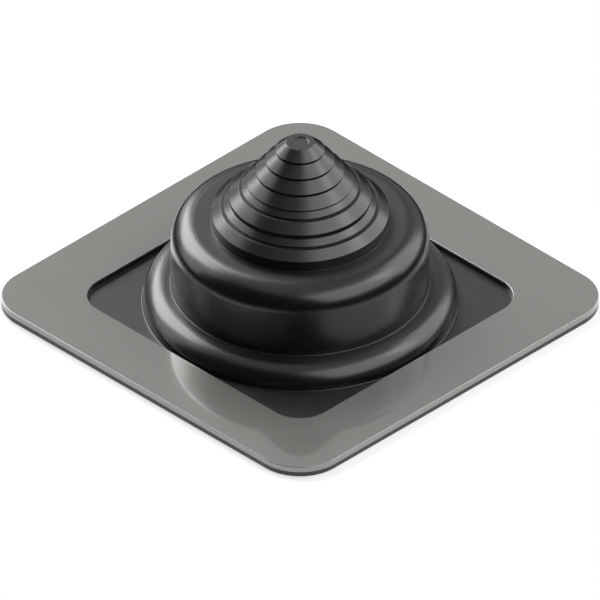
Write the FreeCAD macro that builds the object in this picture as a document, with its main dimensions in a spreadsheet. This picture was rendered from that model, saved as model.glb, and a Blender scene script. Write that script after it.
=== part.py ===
import FreeCAD, Part
import math
import os

import Sketcher

# Pipe flashing boot for a roof, in millimetres, +Z up.
#
# Two pieces:
#   boot   one EPDM moulding: a thin square flange, a two-tier hollow dome that lets the
#          pipe stand at the angle of the roof, and a stepped cone that is cut off at the
#          ring of the pipe's size. It is open underneath and closed at the tip.
#   frame  a square aluminium ring on the flange, which holds it flat on the roof.
#
# The origin is the middle of the underside, which lies on the roof.

# name, value, what it is. Lengths are in mm and the angle is in degrees.
SIZES = [
    ("plate_side", 200.0, "side of the square base, flange and frame alike"),
    ("plate_corner", 21.5, "corner radius of the square base"),
    ("flange_thickness", 2.2, "rubber sheet under the frame and inside it"),
    ("frame_thickness", 2.8, "aluminium ring"),
    ("frame_edge", 0.7, "bevel of the ring's upper edges"),
    ("opening_corner", 15.0, "corner radius of the ring's opening"),
    ("opening_clearance", 1.1, "gap between the lower tier and the opening's sides"),
    ("wall", 2.2, "rubber wall of the tiers and the cone"),
    ("roll_skirt", 0.6, "upright part of the lower tier above the flange"),
    ("roll_shoulder", 9.8, "round shoulder of the lower tier"),
    ("roll_ledge", 1.8, "level strip of the lower tier round the upper one"),
    ("dome_bevel", 1.0, "inside corner where the upper tier leaves the lower one"),
    ("dome_upright", 21.6, "upright wall of the upper tier"),
    ("dome_shoulder", 10.4, "round shoulder of the upper tier"),
    ("dome_ledge", 6.1, "level strip of the upper tier round the cone"),
    ("foot_bevel", 1.4, "inside corner at the foot of the cone"),
    ("foot_upright", 3.7, "upright wall at the foot of the cone"),
    ("cone_slope", 41.0, "slope of every conical band from the level"),
    ("tip_radius", 6.5, "flat end of the cone"),
    ("tip_rim", 2.5, "level rim round the dimple in the flat end"),
    ("tip_dimple_depth", 0.5, "depth of the dimple"),
    ("tip_band", 4.6, "width of the conical band between the flat end and ring 1"),
    ("channel_depth", 0.7, "sealing channels in the flange's underside"),
    ("channel_width", 4.5, "width of each sealing channel"),
    ("channel_pitch", 8.0, "from one sealing channel to the next"),
    ("channel_margin", 5.0, "from the flange's edge to the first channel"),
]

# The cutting rings of the cone, from the foot up: the width of the conical band below
# the ring, the height of its upright step and the width of the ledge under the step.
# A ring with a ledge is a narrow notch between two full rings.
RINGS = [
    ("ring_7", 4.1, 0.7, 1.5),
    ("ring_6", 2.2, 2.8, None),
    ("ring_5", 4.5, 0.9, 1.2),
    ("ring_4", 2.0, 1.3, None),
    ("ring_3", 4.3, 1.9, None),
    ("ring_2", 4.3, 1.8, None),
    ("ring_1", 4.4, 1.7, None),
]

CHANNELS = 2                # sealing channels round the flange's underside
EPSILON = 1e-6              # two heights nearer than this are the same


class Size:
    """A length or a number, and the spreadsheet expression that it comes from."""

    def __init__(self, value, text):
        self.value = value
        self.text = text

    def __add__(self, other):
        return Size(self.value + other.value, f"({self.text} + {other.text})")

    def __sub__(self, other):
        return Size(self.value - other.value, f"({self.text} - {other.text})")

    def __mul__(self, other):
        return Size(self.value * other.value, f"{self.text} * {other.text}")


def tangent(angle, share=1):
    """The tangent of an angle in degrees, or of a share of it."""
    value = math.tan(math.radians(angle.value / share))
    return Size(value, f"tan({angle.text} / {share})")


TWICE = Size(2, "2")
NOTHING = Size(0, "0")
BEVEL_ANGLE = Size(45, "45")


# --- the spreadsheet of driving sizes ------------------------------------------------

doc = FreeCAD.newDocument("PipeFlashingBoot")
sheet = doc.addObject("Spreadsheet::Sheet", "Sizes")
size = {}


def add_size(name, value, meaning):
    row = len(size) + 1
    sheet.set(f"A{row}", meaning)
    sheet.set(f"B{row}", str(value))
    sheet.setAlias(f"B{row}", name)
    size[name] = Size(value, f"Sizes.{name}")


for name, value, meaning in SIZES:
    add_size(name, value, meaning)
for ring, band, step, ledge in RINGS:
    add_size(f"{ring}_band", band, "width of the band below the ring")
    add_size(f"{ring}_step", step, "height of the ring's upright step")
    if ledge:
        add_size(f"{ring}_ledge", ledge, "width of the ledge under the step")
doc.recompute()


# --- sketching -----------------------------------------------------------------------

def new_sketch(body, name, plane_role):
    """An empty sketch on one of the body's own origin planes."""
    sketch = body.newObject("Sketcher::SketchObject", name)
    plane = next(f for f in body.Origin.OriginFeatures if f.Role == plane_role)
    sketch.AttachmentSupport = [(plane, "")]
    sketch.MapMode = "FlatFace"
    return sketch


def bind(sketch, constraint, amount):
    """Adds a dimension and binds it to its spreadsheet expression."""
    index = sketch.addConstraint(Sketcher.Constraint(*constraint, amount.value))
    label = f"size_{index}"
    sketch.renameConstraint(index, label)
    sketch.setExpression(f"Constraints.{label}", amount.text)


def rounded_square(sketch, side, corner):
    """A square with rounded corners about the sketch's origin."""
    half = side.value / 2
    straight = half - corner.value
    centres = [(straight, -straight), (straight, straight),
               (-straight, straight), (-straight, -straight)]
    lines = []
    arcs = []
    for turn, (x, y) in enumerate(centres):
        back = FreeCAD.Vector(*centres[turn - 1], 0)
        centre = FreeCAD.Vector(x, y, 0)
        start = (turn - 1) * math.pi / 2
        out = FreeCAD.Vector(math.cos(start), math.sin(start), 0) * corner.value
        lines.append(sketch.addGeometry(Part.LineSegment(back + out, centre + out)))
        circle = Part.Circle(centre, FreeCAD.Vector(0, 0, 1), corner.value)
        arcs.append(sketch.addGeometry(Part.ArcOfCircle(circle, start, start + math.pi / 2)))
    for turn in range(4):
        level = "Vertical" if turn % 2 else "Horizontal"
        sketch.addConstraint(Sketcher.Constraint(level, lines[turn]))
        sketch.addConstraint(Sketcher.Constraint("Tangent", lines[turn], 2, arcs[turn], 1))
        sketch.addConstraint(Sketcher.Constraint("Tangent", arcs[turn - 1], 2, lines[turn], 1))
    for arc in arcs[1:]:
        sketch.addConstraint(Sketcher.Constraint("Equal", arcs[0], arc))
    sketch.addConstraint(Sketcher.Constraint("Symmetric", arcs[0], 3, arcs[2], 3, -1, 1))
    bind(sketch, ("Radius", arcs[0]), corner)
    bind(sketch, ("DistanceX", lines[3], 1, lines[1], 1), side)
    bind(sketch, ("DistanceY", lines[0], 1, lines[2], 1), side)


class TurnedSection:
    """Half a section through the axis, drawn from the origin outwards and then up.

    Radii are measured from the axis, and heights from the last point.
    """

    def __init__(self, sketch):
        self.sketch = sketch
        self.at = FreeCAD.Vector(0, 0, 0)
        self.last = (-1, 1)

    def join(self, geometry, first, second):
        self.sketch.addConstraint(Sketcher.Constraint("Coincident", *self.last, geometry, first))
        self.last = (geometry, second)

    def line_to(self, x, y):
        end = FreeCAD.Vector(x, y, 0)
        line = self.sketch.addGeometry(Part.LineSegment(self.at, end))
        self.join(line, 1, 2)
        self.at = end
        return line

    def level(self, radius):
        """A level line to a radius."""
        line = self.line_to(radius.value, self.at.y)
        self.sketch.addConstraint(Sketcher.Constraint("Horizontal", line))
        bind(self.sketch, ("DistanceX", -1, 1, line, 2), radius)

    def up(self, rise):
        """An upright line."""
        line = self.line_to(self.at.x, self.at.y + rise.value)
        self.sketch.addConstraint(Sketcher.Constraint("Vertical", line))
        bind(self.sketch, ("DistanceY", line, 1, line, 2), rise)

    def down(self, drop):
        """An upright line drawn downwards."""
        line = self.line_to(self.at.x, self.at.y - drop.value)
        self.sketch.addConstraint(Sketcher.Constraint("Vertical", line))
        bind(self.sketch, ("DistanceY", line, 2, line, 1), drop)

    def slant(self, radius, rise):
        """A sloping line up to a radius: one conical band."""
        line = self.line_to(radius.value, self.at.y + rise.value)
        bind(self.sketch, ("DistanceX", -1, 1, line, 2), radius)
        bind(self.sketch, ("DistanceY", line, 1, line, 2), rise)

    def shoulder(self, radius):
        """A quarter circle up and inwards."""
        bend = radius.value
        end = self.at + FreeCAD.Vector(-bend, bend, 0)
        centre = FreeCAD.Vector(end.x, self.at.y, 0)
        circle = Part.Circle(centre, FreeCAD.Vector(0, 0, 1), bend)
        arc = self.sketch.addGeometry(Part.ArcOfCircle(circle, 0, math.pi / 2))
        self.join(arc, 1, 2)
        self.sketch.addConstraint(Sketcher.Constraint("Horizontal", arc, 3, arc, 1))
        self.sketch.addConstraint(Sketcher.Constraint("Vertical", arc, 3, arc, 2))
        bind(self.sketch, ("Radius", arc), radius)
        self.at = end

    def close(self):
        """Level to the axis, and down it to the origin."""
        line = self.line_to(0, self.at.y)
        self.sketch.addConstraint(Sketcher.Constraint("Horizontal", line))
        self.sketch.addConstraint(Sketcher.Constraint("PointOnObject", line, 2, -2))
        axis = self.line_to(0, 0)
        self.sketch.addConstraint(Sketcher.Constraint("Coincident", axis, 2, -1, 1))


def turned(body, kind, name, sketch):
    """A full turn of the sketch about the vertical axis."""
    feature = body.newObject(kind, name)
    feature.Profile = sketch
    feature.ReferenceAxis = (sketch, ["V_Axis"])
    feature.Angle = 360
    sketch.Visibility = False
    return feature


# --- the boot ------------------------------------------------------------------------

boot = doc.addObject("PartDesign::Body", "boot")
boot.Label = "boot"

# The flange is a plain sheet, and goes on under the frame to the same outline.
flange_outline = new_sketch(boot, "flange_outline", "XY_Plane")
rounded_square(flange_outline, size["plate_side"], size["plate_corner"])
flange = boot.newObject("PartDesign::Pad", "flange")
flange.Profile = flange_outline
flange.setExpression("Length", size["flange_thickness"].text)

# Radii add up from the tip outwards: the bands and ledges of the cone, then the level
# strip and the round shoulder of each tier.
brinks = {}
edges = {}
reach = size["tip_radius"] + size["tip_band"]
for ring, _, _, ledge in reversed(RINGS):
    edges[ring] = reach
    if ledge:
        reach = reach + size[f"{ring}_ledge"]
    brinks[ring] = reach
    reach = reach + size[f"{ring}_band"]
foot_radius = reach
dome_radius = foot_radius + size["foot_bevel"] + size["dome_ledge"] + size["dome_shoulder"]
roll_radius = dome_radius + size["dome_bevel"] + size["roll_ledge"] + size["roll_shoulder"]

# Outside of the tiers and of the cone.
steepness = tangent(size["cone_slope"])
skin_sketch = new_sketch(boot, "skin_section", "XZ_Plane")
skin = TurnedSection(skin_sketch)
skin.level(roll_radius)
skin.up(size["flange_thickness"] + size["roll_skirt"])
skin.shoulder(size["roll_shoulder"])
skin.level(dome_radius + size["dome_bevel"])
skin.slant(dome_radius, size["dome_bevel"])
skin.up(size["dome_upright"])
skin.shoulder(size["dome_shoulder"])
skin.level(foot_radius + size["foot_bevel"])
skin.slant(foot_radius, size["foot_bevel"])
skin.up(size["foot_upright"])

# Up the cone, band by band. The wall's inner side has the full rings alone, so each
# climb from one full ring to the next is kept for it, with the step at its end.
climbs = []
climb = NOTHING
for ring, _, _, ledge in RINGS:
    step = size[f"{ring}_step"]
    rise = size[f"{ring}_band"] * steepness
    skin.slant(brinks[ring], rise)
    climb = climb + rise
    if ledge:
        skin.level(edges[ring])
        climb = climb + step
    else:
        climbs.append((edges[ring], climb, step))
        climb = NOTHING
    skin.up(step)
skin.slant(size["tip_radius"], size["tip_band"] * steepness)
skin.level(size["tip_radius"] - size["tip_rim"])
skin.down(size["tip_dimple_depth"])
skin.close()
tiers = turned(boot, "PartDesign::Revolution", "tiers_and_cone", skin_sketch)

# The hollow follows the outside at one wall's thickness. Its core is bevelled where the
# outside is rounded, with a flat that comes within a wall of the round halfway along.
# On the cone, each corner lies in by the wall and down by a share of it, which keeps
# that thickness on the bands and on the steps alike.
wall = size["wall"]
roll_core = size["roll_shoulder"] - wall
roll_flat = roll_core * tangent(BEVEL_ANGLE, 2)
dome_core = size["dome_shoulder"] - wall
dome_flat = dome_core * tangent(BEVEL_ANGLE, 2)
complement = Size(90 - size["cone_slope"].value, f"(90 - {size['cone_slope'].text})")
band_shift = wall * tangent(complement, 2)
hollow_sketch = new_sketch(boot, "hollow_section", "XZ_Plane")
hollow = TurnedSection(hollow_sketch)
hollow.level(roll_radius - wall)
hollow.up(size["flange_thickness"] + size["roll_skirt"] + roll_flat)
hollow.slant(roll_radius - size["roll_shoulder"] + roll_flat, roll_core - roll_flat)
hollow.level(dome_radius - wall)
hollow.up(wall + size["dome_bevel"] + size["dome_upright"] + dome_flat)
hollow.slant(dome_radius - size["dome_shoulder"] + dome_flat, dome_core - dome_flat)
hollow.level(foot_radius - wall)
hollow.up(wall + size["foot_bevel"] + size["foot_upright"] - band_shift)
for edge, climb, step in climbs:
    hollow.slant(edge - wall, climb)
    hollow.up(step)
inner_tip = size["tip_radius"] - wall * tangent(size["cone_slope"], 2)
hollow.slant(inner_tip, (edge - wall - inner_tip) * steepness)
hollow.close()
hollowed = turned(boot, "PartDesign::Groove", "hollow", hollow_sketch)

# Shallow channels run round the underside and hold the sealant, with ribs between.
channels_sketch = new_sketch(boot, "channels_outline", "XY_Plane")
inset = size["channel_margin"]
for _ in range(CHANNELS):
    for depth in (inset, inset + size["channel_width"]):
        rounded_square(channels_sketch, size["plate_side"] - TWICE * depth,
                       size["plate_corner"] - depth)
    inset = inset + size["channel_pitch"]
channels = boot.newObject("PartDesign::Pocket", "channels")
channels.Profile = channels_sketch
channels.setExpression("Length", size["channel_depth"].text)
channels.Reversed = True


# --- the frame -----------------------------------------------------------------------

frame = doc.addObject("PartDesign::Body", "frame")
frame.Label = "frame"
ring_outline = new_sketch(frame, "ring_outline", "XY_Plane")
rounded_square(ring_outline, size["plate_side"], size["plate_corner"])
opening_side = TWICE * (roll_radius + size["opening_clearance"])
rounded_square(ring_outline, opening_side, size["opening_corner"])
ring_pad = frame.newObject("PartDesign::Pad", "ring")
ring_pad.Profile = ring_outline
ring_pad.setExpression("Length", size["frame_thickness"].text)
doc.recompute()

# Both upper edges of the ring are eased.
top = size["frame_thickness"].value
upper_edges = [f"Edge{number}" for number, edge in enumerate(ring_pad.Shape.Edges, 1)
               if edge.BoundBox.ZMin > top - EPSILON]
easing = frame.newObject("PartDesign::Chamfer", "eased_edges")
easing.Base = (ring_pad, upper_edges)
easing.setExpression("Size", size["frame_edge"].text)
frame.setExpression("Placement.Base.z", size["flange_thickness"].text)
doc.recompute()


# --- checks and export ---------------------------------------------------------------

for item in doc.Objects:
    if "Invalid" in item.State or "Error" in item.State:
        raise RuntimeError(f"{item.Name} failed: {item.State}")
for feature, base, cuts in ((tiers, flange, False), (hollowed, tiers, True),
                            (channels, hollowed, True), (easing, ring_pad, True)):
    gained = feature.Shape.Volume - base.Shape.Volume
    if (gained < 0) != cuts or abs(gained) < EPSILON:
        raise RuntimeError(f"{feature.Name} changed the volume by {gained:.3f} mm3")

os.makedirs("parts", exist_ok=True)
for body in (boot, frame):
    shape = body.Shape
    if shape.isNull() or not shape.isValid() or len(shape.Solids) != 1:
        raise RuntimeError(f"{body.Label} is not one valid solid")
    shape.exportStep(f"parts/{body.Label}.step")
    print(body.Label, shape.BoundBox, f"{shape.Volume:.0f} mm3")
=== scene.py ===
import math

import bpy
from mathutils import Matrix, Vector


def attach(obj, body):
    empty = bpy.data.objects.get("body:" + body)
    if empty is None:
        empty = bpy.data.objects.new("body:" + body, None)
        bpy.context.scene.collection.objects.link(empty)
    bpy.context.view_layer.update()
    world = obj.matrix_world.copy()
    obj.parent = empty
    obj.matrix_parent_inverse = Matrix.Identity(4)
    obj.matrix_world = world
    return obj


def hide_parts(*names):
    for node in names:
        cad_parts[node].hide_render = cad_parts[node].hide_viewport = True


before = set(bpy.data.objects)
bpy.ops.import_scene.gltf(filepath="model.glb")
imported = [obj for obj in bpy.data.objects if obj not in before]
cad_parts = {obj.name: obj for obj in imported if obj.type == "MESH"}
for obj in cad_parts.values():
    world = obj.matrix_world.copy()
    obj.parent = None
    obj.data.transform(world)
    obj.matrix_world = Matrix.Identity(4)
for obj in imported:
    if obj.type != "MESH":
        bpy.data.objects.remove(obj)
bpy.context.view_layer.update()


# --- The rubber boot -----------------------------------------------------------------
# One moulding of black EPDM rubber: a thin square flange, a two-tier hollow dome and a
# stepped cone with a closed tip. It is pressed in a steel mould, so every edge is
# slightly round, and the flange's underside has two shallow channels for the sealant.

MM = 0.001


def add_node(tree, kind, inputs=None, **settings):
    """Adds one node with its settings, and fills its inputs with values or links."""
    node = tree.nodes.new(kind)
    for name, value in settings.items():
        setattr(node, name, value)
    for socket, value in (inputs or {}).items():
        if isinstance(value, bpy.types.NodeSocket):
            tree.links.new(value, node.inputs[socket])
        else:
            node.inputs[socket].default_value = value
    return node


def linear(hex_colour):
    """An sRGB hex colour as the linear RGBA that shaders take."""
    channels = [int(hex_colour[i:i + 2], 16) / 255 for i in (1, 3, 5)]
    return [c / 12.92 if c <= 0.04045 else ((c + 0.055) / 1.055) ** 2.4
            for c in channels] + [1.0]


def level_loops_tree():
    """Geometry Nodes that turn a section into a body of level loops.

    Every loop is a square with rounded corners, and a circle is one whose corners take
    up the whole side. A point of the section holds the radius of the loop's corners in
    X, how far their centres lie from the axis in Y, and the loop's height in Z.
    """
    tree = bpy.data.node_groups.new("level_loops", "GeometryNodeTree")
    sockets = tree.interface
    sockets.new_socket("Section", in_out="INPUT", socket_type="NodeSocketGeometry")
    sockets.new_socket("Corner Segments", in_out="INPUT", socket_type="NodeSocketInt")
    sockets.new_socket("Seam Distance", in_out="INPUT", socket_type="NodeSocketFloat")
    sockets.new_socket("Finish", in_out="INPUT", socket_type="NodeSocketMaterial")
    sockets.new_socket("Body", in_out="OUTPUT", socket_type="NodeSocketGeometry")
    given = add_node(tree, "NodeGroupInput").outputs

    # Each vertex works out its loop, its corner and its angle from its own number.
    known = {"segments": given["Corner Segments"],
             "number": add_node(tree, "GeometryNodeInputIndex").outputs[0]}
    for result, operation, first, second in (
            ("per corner", "ADD", "segments", 1.0),
            ("all corners", "MULTIPLY", "per corner", 4.0),
            ("around", "ADD", "all corners", 1.0),
            ("place", "MODULO", "number", "around"),
            ("loop start", "SUBTRACT", "number", "place"),
            ("loop", "DIVIDE", "loop start", "around"),
            ("in corner", "MODULO", "place", "per corner"),
            ("corner start", "SUBTRACT", "place", "in corner"),
            ("corner", "DIVIDE", "corner start", "per corner"),
            ("share", "DIVIDE", "in corner", "segments"),
            ("quarters", "ADD", "corner", "share"),
            ("angle", "MULTIPLY", "quarters", math.pi / 2),
            ("half quarters", "ADD", "corner", 0.5),
            ("diagonal", "MULTIPLY", "half quarters", math.pi / 2)):
        known[result] = add_node(tree, "ShaderNodeMath", {
            0: known.get(first, first), 1: known.get(second, second)},
            operation=operation).outputs[0]

    grid = add_node(tree, "GeometryNodeMeshGrid", {
        "Vertices X": add_node(tree, "GeometryNodeAttributeDomainSize",
                               {"Geometry": given["Section"]}).outputs["Point Count"],
        "Vertices Y": known["around"]})
    section = add_node(tree, "GeometryNodeSampleIndex",
                       {"Geometry": given["Section"],
                        "Value": add_node(tree, "GeometryNodeInputPosition").outputs[0],
                        "Index": known["loop"]}, data_type="FLOAT_VECTOR")
    part = add_node(tree, "ShaderNodeSeparateXYZ", {0: section.outputs["Value"]}).outputs
    bend = add_node(tree, "ShaderNodeVectorRotate", {
        "Vector": add_node(tree, "ShaderNodeCombineXYZ",
                           {"X": part["X"], "Z": part["Z"]}).outputs[0],
        "Angle": known["angle"]}, rotation_type="Z_AXIS")
    centre = add_node(tree, "ShaderNodeVectorRotate", {
        "Vector": add_node(tree, "ShaderNodeCombineXYZ", {"X": part["Y"]}).outputs[0],
        "Angle": known["diagonal"]}, rotation_type="Z_AXIS")
    spot = add_node(tree, "ShaderNodeVectorMath",
                    {0: bend.outputs[0], 1: centre.outputs[0]}, operation="ADD")
    placed = add_node(tree, "GeometryNodeSetPosition",
                      {"Geometry": grid.outputs["Mesh"], "Position": spot.outputs[0]})
    closed = add_node(tree, "GeometryNodeMergeByDistance",
                      {"Geometry": placed.outputs[0], "Distance": given["Seam Distance"]})
    smooth = add_node(tree, "GeometryNodeSetShadeSmooth", {"Geometry": closed.outputs[0]})
    real = add_node(tree, "GeometryNodeRealizeInstances", {"Geometry": smooth.outputs[0]})
    finished = add_node(tree, "GeometryNodeSetMaterial",
                        {"Geometry": real.outputs[0], "Material": given["Finish"]})
    add_node(tree, "NodeGroupOutput", {"Body": finished.outputs[0]})
    return tree


# How finely a body is divided: along its loops and round the bends of its section.
CORNER_SEGMENTS = 48        # segments in each quarter of a loop
BEND_STEP = 13.0            # degrees between two points of a bend
HOLD = 0.12                 # mm between a bend and the point that keeps its neighbour flat
LEAST_STEPS = 2             # steps round even the slightest bend
LEAST_RUN = 3 * HOLD        # mm, a shorter run is left as it is
SEAM_DISTANCE = 1e-6        # m, closer vertices are one


def eased(corners):
    """Rounds the corners of a section and returns its points, all in millimetres.

    A corner is (half width, height, radius, straight part). Each straight run gets a
    point at either end, close to the bend, which keeps it flat in the shading.
    """
    runs = []
    for number, (across, height, radius, straight) in enumerate(corners):
        here = Vector((across, height))
        if not radius:
            runs.append([(here, straight)])
            continue
        back = (Vector(corners[number - 1][:2]) - here).normalized()
        ahead = (Vector(corners[number + 1][:2]) - here).normalized()
        half = back.angle(ahead) / 2
        centre = here + (back + ahead).normalized() * radius / math.sin(half)
        turn = math.pi - 2 * half
        if back.cross(ahead) > 0:
            turn = -turn
        spoke = here + back * radius / math.tan(half) - centre
        steps = max(LEAST_STEPS, math.ceil(abs(turn) / math.radians(BEND_STEP)))
        arc = []
        for step in range(steps + 1):
            swing = turn * step / steps
            arc.append((centre + Vector((
                spoke.x * math.cos(swing) - spoke.y * math.sin(swing),
                spoke.x * math.sin(swing) + spoke.y * math.cos(swing))), straight))
        runs.append(arc)
    points = list(runs[0])
    for run in runs[1:]:
        (last, straight), (first, _) = points[-1], run[0]
        gap = first - last
        if gap.length > LEAST_RUN:
            aside = gap.normalized() * HOLD
            points += [(last + aside, straight), (first - aside, run[0][1])]
        points += run
    return points


def level_body(name, corners, finish):
    """The body of level loops round a section's corners, as a plain mesh."""
    points = eased(corners)
    section = bpy.data.meshes.new(name)
    section.from_pydata([((p.x - straight) * MM, math.sqrt(2) * straight * MM, p.y * MM)
                         for p, straight in points],
                        [(i, i + 1) for i in range(len(points) - 1)], [])
    body = bpy.data.objects.new(name, section)
    bpy.context.scene.collection.objects.link(body)
    loops = body.modifiers.new("level_loops", "NODES")
    loops.node_group = bpy.data.node_groups.get("level_loops") or level_loops_tree()
    values = {"Corner Segments": CORNER_SEGMENTS, "Seam Distance": SEAM_DISTANCE,
              "Finish": finish}
    for socket in loops.node_group.interface.items_tree:
        if socket.name in values and socket.in_out == "INPUT":
            loops[socket.identifier] = values[socket.name]
    depsgraph = bpy.context.evaluated_depsgraph_get()
    body.data = bpy.data.meshes.new_from_object(body.evaluated_get(depsgraph),
                                                depsgraph=depsgraph)
    body.modifiers.clear()
    return body


# Sizes in millimetres. A half width is measured from the axis.
TURNED = 0                  # a turned loop has no straight part
PLATE_HALF = 100.0
PLATE_CORNER = 21.5
PLATE_STRAIGHT = PLATE_HALF - PLATE_CORNER
FLANGE = 2.2
WALL = 2.2
ROLL_HALF, ROLL_TOP, ROLL_ROUND = 70.1, 12.6, 9.8
DOME_HALF, DOME_TOP, DOME_ROUND = 57.5, 45.6, 10.4
DIMPLE_HALF, DIMPLE_DEPTH = 4.0, 0.5
TIP_RIM = 2.5
BAND_ANGLE = math.radians(41)
# The cone from the tip down: how far each band runs out, how far its edge then drops, and
# the ledge at the foot of a narrow notch. The last band stands on a wall of its own.
BANDS = ((4.6, 1.7, 0), (4.4, 1.8, 0), (4.3, 1.9, 0), (4.3, 1.3, 0), (2.0, 0.9, 1.2),
         (4.5, 2.8, 0), (2.2, 0.7, 1.5))
LAST_BAND, CONE_WALL = 4.1, 5.1
UNDERCUT = 0.45             # how far the foot of a step lies in behind its edge
NOTCH_UNDERCUT = 0.25
# How round the edges are, from a corner of the mould to the turns of the inside.
CRISP, SHARP, SOFT, INNER_EDGE, INNER_FOOT, INNER_TURN = 0.1, 0.2, 0.35, 0.3, 0.8, 1.5

slope = math.tan(BAND_ANGLE)
tip_top = (DOME_TOP + (LAST_BAND * slope + CONE_WALL)
           + sum(band * slope + drop for band, drop, _ in BANDS))
across, height = DIMPLE_HALF + TIP_RIM, tip_top
outside = [(DIMPLE_HALF, tip_top - DIMPLE_DEPTH, SOFT), (DIMPLE_HALF, tip_top, SHARP),
           (across, tip_top, SOFT)]

# The inside follows a wall's thickness below each band and behind each step, so its
# corners lie this much lower than those outside. The notches leave no mark in it.
lower = WALL / math.cos(BAND_ANGLE) - WALL * slope
inside = [(across - (WALL / math.cos(BAND_ANGLE) - WALL) / slope, tip_top - WALL, SOFT)]
for band, drop, ledge in BANDS:
    across += band
    height -= band * slope
    outside.append((across, height, SHARP))
    if ledge:
        outside += [(across - NOTCH_UNDERCUT, height - drop, CRISP),
                    (across + ledge, height - drop, SHARP)]
    else:
        outside.append((across - UNDERCUT, height - drop + UNDERCUT * slope, CRISP))
        inside += [(across - WALL, height - lower, INNER_EDGE),
                   (across - WALL, height - drop - lower, INNER_EDGE)]
    across += ledge
    height -= drop
across += LAST_BAND
height -= LAST_BAND * slope
outside += [(across, height, INNER_EDGE), (across, DOME_TOP, CRISP)]
inside += [(across - WALL, height - lower, INNER_EDGE),
           (across - WALL, DOME_TOP - WALL, INNER_FOOT)]

# The dome's two tiers have round shoulders. Inside, a slant keeps the wall as thick there.
for half, top, shoulder, foot in ((DOME_HALF, DOME_TOP, DOME_ROUND, ROLL_TOP),
                                  (ROLL_HALF, ROLL_TOP, ROLL_ROUND, FLANGE)):
    slant = (2 - math.sqrt(2)) * (shoulder - WALL)
    outside += [(half, top, shoulder), (half, foot, SOFT)]
    inside += [(half - WALL - slant, top - WALL, INNER_TURN),
               (half - WALL, top - WALL - slant, INNER_TURN),
               (half - WALL, foot - WALL, INNER_FOOT)]

# A thin lip of rubber stands up against the opening of the ring and hides its cut edge.
OPENING_HALF = 71.2
OPENING_CORNER = 15.0
OPENING_STRAIGHT = OPENING_HALF - OPENING_CORNER
LIP = 0.25
LIP_TOP = 4.6
CHANNEL_INSETS = (5.0, 13.0)
CHANNEL_WIDTH = 4.5
CHANNEL_DEPTH = 0.7
section = [(0, tip_top - DIMPLE_DEPTH, 0, TURNED)]
section += [(across, height, radius, TURNED) for across, height, radius in outside]
section += [(OPENING_HALF - LIP, FLANGE, CRISP, OPENING_STRAIGHT),
            (OPENING_HALF - LIP, LIP_TOP, CRISP, OPENING_STRAIGHT),
            (OPENING_HALF, LIP_TOP, 0, OPENING_STRAIGHT),
            (OPENING_HALF, FLANGE, 0, OPENING_STRAIGHT),
            (PLATE_HALF, FLANGE, SHARP, PLATE_STRAIGHT),
            (PLATE_HALF, 0, INNER_EDGE, PLATE_STRAIGHT)]
for inset in CHANNEL_INSETS:
    far = inset + CHANNEL_WIDTH
    for edge, depth in ((inset, 0), (inset, CHANNEL_DEPTH), (far, CHANNEL_DEPTH), (far, 0)):
        section.append((PLATE_HALF - edge, depth, SHARP, PLATE_STRAIGHT))
section += [(across, height, radius, TURNED) for across, height, radius in reversed(inside)]
section += [(0, tip_top - WALL, 0, TURNED)]

# EPDM with carbon black, as it comes from the mould: black with a satin skin, a touch
# uneven over a few millimetres, and a very fine grain. The mould's level faces, which
# the tool marks, come out a little duller than its turned ones.
rubber = bpy.data.materials.new("EPDM_rubber")
rubber.use_nodes = True
tree = rubber.node_tree
tree.nodes.clear()
place = add_node(tree, "ShaderNodeTexCoord").outputs["Object"]
CLOUD_SIZE = 9.0            # mm, soft patches left by the mould release
GRAIN_SIZE = 0.6            # mm, drawn three times coarser than the real one, so it shows
GRAIN_DEPTH = 0.01          # mm
SATIN = 0.27
DULL = 0.42
UNEVEN = 0.008
LEVEL_STARTS, LEVEL_ENDS = 0.985, 0.998     # the normal's Z where a face counts as level
NOISE_LOW, NOISE_HIGH = 0.3, 0.7    # nearly all of a noise lies between these
cloud = add_node(tree, "ShaderNodeTexNoise",
                 {"Vector": place, "Scale": 1 / (CLOUD_SIZE * MM), "Detail": 3.0})
grain = add_node(tree, "ShaderNodeTexNoise",
                 {"Vector": place, "Scale": 1 / (GRAIN_SIZE * MM), "Detail": 2.0})
tone = add_node(tree, "ShaderNodeMix", {0: cloud.outputs["Fac"], 6: linear("#0f0f0f"),
                                        7: linear("#141414")}, data_type="RGBA")
facing = add_node(tree, "ShaderNodeSeparateXYZ", {
    0: add_node(tree, "ShaderNodeNewGeometry").outputs["Normal"]})
level_face = add_node(tree, "ShaderNodeMapRange", {
    "Value": add_node(tree, "ShaderNodeMath", {0: facing.outputs["Z"]},
                      operation="ABSOLUTE").outputs[0],
    "From Min": LEVEL_STARTS, "From Max": LEVEL_ENDS, "To Min": SATIN, "To Max": DULL})
gloss = add_node(tree, "ShaderNodeMath", {
    0: level_face.outputs[0],
    1: add_node(tree, "ShaderNodeMapRange", {
        "Value": cloud.outputs["Fac"], "From Min": NOISE_LOW, "From Max": NOISE_HIGH,
        "To Min": -UNEVEN, "To Max": UNEVEN}).outputs[0]}, operation="ADD")
relief = add_node(tree, "ShaderNodeBump", {"Height": grain.outputs["Fac"], "Strength": 0.05,
                                           "Distance": GRAIN_DEPTH * MM})
shader = add_node(tree, "ShaderNodeBsdfPrincipled",
                  {"Base Color": tone.outputs[2], "Roughness": gloss.outputs[0],
                   "IOR": 1.65, "Normal": relief.outputs[0]})
add_node(tree, "ShaderNodeOutputMaterial", {"Surface": shader.outputs[0]})

boot = level_body("rubber_boot", section, rubber)
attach(boot, "root")
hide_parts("boot")


# --- The metal ring ------------------------------------------------------------------
# A square ring stamped from thick aluminium sheet, with a rounded square opening. It is
# bonded on the flange, and the roofer drives the screws through it.

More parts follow.
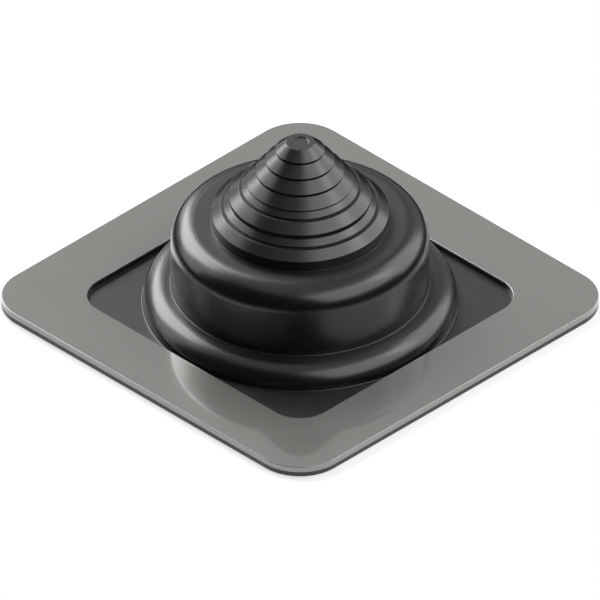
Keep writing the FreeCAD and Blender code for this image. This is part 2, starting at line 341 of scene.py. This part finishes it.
RING_TOP = 5.0
RING_EDGE = 0.3
middle = (PLATE_HALF + OPENING_HALF) / 2
ring_section = [
    (middle, FLANGE, 0, PLATE_STRAIGHT),
    (OPENING_HALF, FLANGE, CRISP, OPENING_STRAIGHT),
    (OPENING_HALF, RING_TOP, RING_EDGE, OPENING_STRAIGHT),
    (PLATE_HALF, RING_TOP, RING_EDGE, PLATE_STRAIGHT),
    (PLATE_HALF, FLANGE, CRISP, PLATE_STRAIGHT),
    (middle, FLANGE, 0, PLATE_STRAIGHT),
]

# Rolled aluminium with a clear lacquer: the grey metal is dull and its oxide scatters half
# of the light, with faint streaks along the rolling, and the lacquer mirrors on top.
aluminium = bpy.data.materials.new("rolled_aluminium")
aluminium.use_nodes = True
tree = aluminium.node_tree
tree.nodes.clear()
place = add_node(tree, "ShaderNodeTexCoord").outputs["Object"]
STREAK_WIDTH = 0.5          # mm
STREAK_LENGTH = 12.0        # mm
STREAK_DEPTH = 0.003        # mm
PATCH_SIZE = 18.0           # mm
LEAST_DULL, MOST_DULL = 0.19, 0.22
rolled = add_node(tree, "ShaderNodeMapping", {
    "Vector": place,
    "Scale": (1 / (STREAK_LENGTH * MM), 1 / (STREAK_WIDTH * MM), 1 / (STREAK_WIDTH * MM))})
streaks = add_node(tree, "ShaderNodeTexNoise",
                   {"Vector": rolled.outputs[0], "Scale": 1.0, "Detail": 3.0})
patches = add_node(tree, "ShaderNodeTexNoise",
                   {"Vector": place, "Scale": 1 / (PATCH_SIZE * MM), "Detail": 2.0})
tone = add_node(tree, "ShaderNodeMix", {0: streaks.outputs["Fac"], 6: linear("#8a8885"),
                                        7: linear("#908e8b")}, data_type="RGBA")
gloss = add_node(tree, "ShaderNodeMapRange", {"Value": patches.outputs["Fac"],
                                              "From Min": NOISE_LOW,
                                              "From Max": NOISE_HIGH,
                                              "To Min": LEAST_DULL, "To Max": MOST_DULL})
relief = add_node(tree, "ShaderNodeBump", {"Height": streaks.outputs["Fac"],
                                           "Strength": 0.03, "Distance": STREAK_DEPTH * MM})
shader = add_node(tree, "ShaderNodeBsdfPrincipled",
                  {"Base Color": tone.outputs[2], "Metallic": 0.55,
                   "Roughness": gloss.outputs[0], "Normal": relief.outputs[0],
                   "Coat Weight": 1.0, "Coat Roughness": 0.04, "Coat IOR": 1.7})
add_node(tree, "ShaderNodeOutputMaterial", {"Surface": shader.outputs[0]})

ring = level_body("aluminium_ring", ring_section, aluminium)
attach(ring, "root")
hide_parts("frame")


# --- The studio ----------------------------------------------------------------------
# The camera sees a white room and a round sheet of pale paper, which keeps the shadow. The
# object mirrors a dark tent and carpet, hidden from the camera, in place of the white room.
# Of the five soft lights, three stand on the left and behind, and two on the right.

world = bpy.data.worlds.new("white_room")
bpy.context.scene.world = world
world.use_nodes = True
tree = world.node_tree
tree.nodes.clear()
room = add_node(tree, "ShaderNodeBackground", {"Color": linear("#ffffff"), "Strength": 1.0})
add_node(tree, "ShaderNodeOutputWorld", {"Surface": room.outputs[0]})

SHEET_SIDES = 96


def round_sheet(name, radius, drop, material):
    """A level round sheet under the object."""
    mesh = bpy.data.meshes.new(name)
    turns = [math.tau * point / SHEET_SIDES for point in range(SHEET_SIDES)]
    mesh.from_pydata([(radius * math.cos(turn), radius * math.sin(turn), -drop)
                      for turn in turns], [], [range(SHEET_SIDES)])
    mesh.materials.append(material)
    sheet = bpy.data.objects.new(name, mesh)
    bpy.context.scene.collection.objects.link(sheet)
    return sheet


PAPER_RADIUS = 0.15         # m, just past the object's corners, as the dome mirrors a wider one
PAPER_DROP = 0.0002         # m under the object
PAPER_LIFT = 0.5            # brings the lit paper up to white and leaves its shadow
paper = bpy.data.materials.new("pale_paper")
paper.use_nodes = True
tree = paper.node_tree
tree.nodes.clear()
path = add_node(tree, "ShaderNodeLightPath").outputs
mirror = add_node(tree, "ShaderNodeMath", {0: path["Is Camera Ray"], 1: path["Is Glossy Ray"]},
                  operation="MAXIMUM")
seen = add_node(tree, "ShaderNodeMath", {0: mirror.outputs[0],
                                         1: path["Is Transmission Ray"]},
                operation="MAXIMUM")
lift = add_node(tree, "ShaderNodeMath", {0: seen.outputs[0], 1: PAPER_LIFT},
                operation="MULTIPLY")
shader = add_node(tree, "ShaderNodeBsdfPrincipled",
                  {"Base Color": linear("#bcbcbc"), "Roughness": 0.9,
                   "Specular IOR Level": 0.0,
                   "Emission Color": linear("#ffffff"), "Emission Strength": lift.outputs[0]})
add_node(tree, "ShaderNodeOutputMaterial", {"Surface": shader.outputs[0]})
round_sheet("floor", PAPER_RADIUS, PAPER_DROP, paper)

TENT_RADIUS = 2.2           # m
CARPET_DROP = 0.002         # m under the object
DARK = linear("#0a0a0a")
pile = bpy.data.materials.new("dark_carpet")
pile.use_nodes = True
tree = pile.node_tree
tree.nodes.clear()
shader = add_node(tree, "ShaderNodeBsdfDiffuse", {"Color": DARK})
add_node(tree, "ShaderNodeOutputMaterial", {"Surface": shader.outputs[0]})
round_sheet("carpet", TENT_RADIUS, CARPET_DROP, pile).visible_camera = False

CAMERA_AZIMUTH = 45.0       # degrees right of the front


def from_camera(side, elevation, distance):
    """A point seen from the origin at an angle right of the camera and an elevation."""
    turn = math.radians(CAMERA_AZIMUTH + side)
    rise = math.radians(elevation)
    return Vector((math.sin(turn) * math.cos(rise), -math.cos(turn) * math.cos(rise),
                   math.sin(rise))) * distance


LIGHT_DISTANCE = 1.5        # m
# name, degrees right of the camera, elevation, width and height in m, radiance
for name, side, elevation, width, height, radiance in (
        ("key_left_behind", -141, 36.5, 1.0, 1.03, 6.5),
        ("key_foot", -154, 9, 0.32, 0.47, 1.4),
        ("fill_left", -108, 26, 0.75, 1.33, 1.7),
        ("soft_right_front", 56, 43, 1.84, 1.27, 2.1),
        ("soft_right_behind", 114, 32, 1.24, 1.4, 2.3)):
    lamp = bpy.data.lights.new(name, "AREA")
    lamp.shape = "RECTANGLE"
    lamp.size, lamp.size_y = width, height
    lamp.energy = radiance * math.pi * width * height
    light = bpy.data.objects.new(name, lamp)
    light.location = from_camera(side, elevation, LIGHT_DISTANCE)
    light.rotation_euler = (-light.location).to_track_quat("-Z", "Y").to_euler()
    light.visible_camera = False
    bpy.context.scene.collection.objects.link(light)

# The tent of dark cloth keeps the rubber's front black. It hides the white room from
# reflections, though up to half of it shows behind and overhead, where the cloth is thin.
COLUMNS = 48
ROWS = 16
tent_points = [from_camera(360 * column / COLUMNS, 90 * row / ROWS, TENT_RADIUS)
               for column in range(COLUMNS) for row in range(ROWS + 1)]
tent_faces = []
for column in range(COLUMNS):
    for row in range(ROWS):
        a, b = (turn % COLUMNS * (ROWS + 1) + row for turn in (column, column + 1))
        tent_faces.append((a, a + 1, b + 1, b))
tent_mesh = bpy.data.meshes.new("dark_tent")
tent_mesh.from_pydata(tent_points, [], tent_faces)
tent = bpy.data.objects.new("dark_tent", tent_mesh)
bpy.context.scene.collection.objects.link(tent)
tent.visible_camera = False
cloth = bpy.data.materials.new("dark_cloth")
cloth.use_nodes = True
tree = cloth.node_tree
tree.nodes.clear()
place = add_node(tree, "ShaderNodeTexCoord").outputs["Object"]
height = add_node(tree, "ShaderNodeSeparateXYZ", {0: place}).outputs["Z"]
behind = add_node(tree, "ShaderNodeVectorMath", {0: place, 1: from_camera(180, 0, 1)},
                  operation="DOT_PRODUCT").outputs["Value"]
TOP_STARTS, TOP_ENDS, TOP_OPEN = 0.78, 0.93, 0.5    # in radii, and the light let through
BACK_STARTS, BACK_ENDS, BACK_OPEN = 0.35, 0.6, 0.45
CLOSED = 0.02
overhead = add_node(tree, "ShaderNodeMapRange", {
    "Value": height, "From Min": TOP_STARTS * TENT_RADIUS, "From Max": TOP_ENDS * TENT_RADIUS,
    "To Min": CLOSED, "To Max": TOP_OPEN}).outputs[0]
back = add_node(tree, "ShaderNodeMapRange", {
    "Value": behind, "From Min": BACK_STARTS * TENT_RADIUS,
    "From Max": BACK_ENDS * TENT_RADIUS, "To Min": 0.0, "To Max": BACK_OPEN}).outputs[0]
thin = add_node(tree, "ShaderNodeMath", {0: overhead, 1: back}, operation="MAXIMUM")
shader = add_node(tree, "ShaderNodeMixShader", {
    0: thin.outputs[0],
    1: add_node(tree, "ShaderNodeBsdfDiffuse", {"Color": DARK}).outputs[0],
    2: add_node(tree, "ShaderNodeBsdfTransparent").outputs[0]})
add_node(tree, "ShaderNodeOutputMaterial", {"Surface": shader.outputs[0]})
tent_mesh.materials.append(cloth)

CAMERA_ELEVATION = math.degrees(math.asin(1 / math.sqrt(3)))    # an isometric view
CAMERA_DISTANCE = 1.2       # m
VIEW_WIDTH = 0.2662         # m
AIM = Vector((0, 0, 0.00224))
camera = bpy.data.objects.new("camera", bpy.data.cameras.new("camera"))
camera.data.type = "ORTHO"
camera.data.ortho_scale = VIEW_WIDTH
camera.data.clip_start, camera.data.clip_end = 0.01, 10.0
camera.location = AIM + from_camera(0, CAMERA_ELEVATION, CAMERA_DISTANCE)
camera.rotation_euler = (AIM - camera.location).to_track_quat("-Z", "Y").to_euler()
bpy.context.scene.collection.objects.link(camera)
bpy.context.scene.camera = camera
bpy.context.scene.view_settings.view_transform = "Standard"
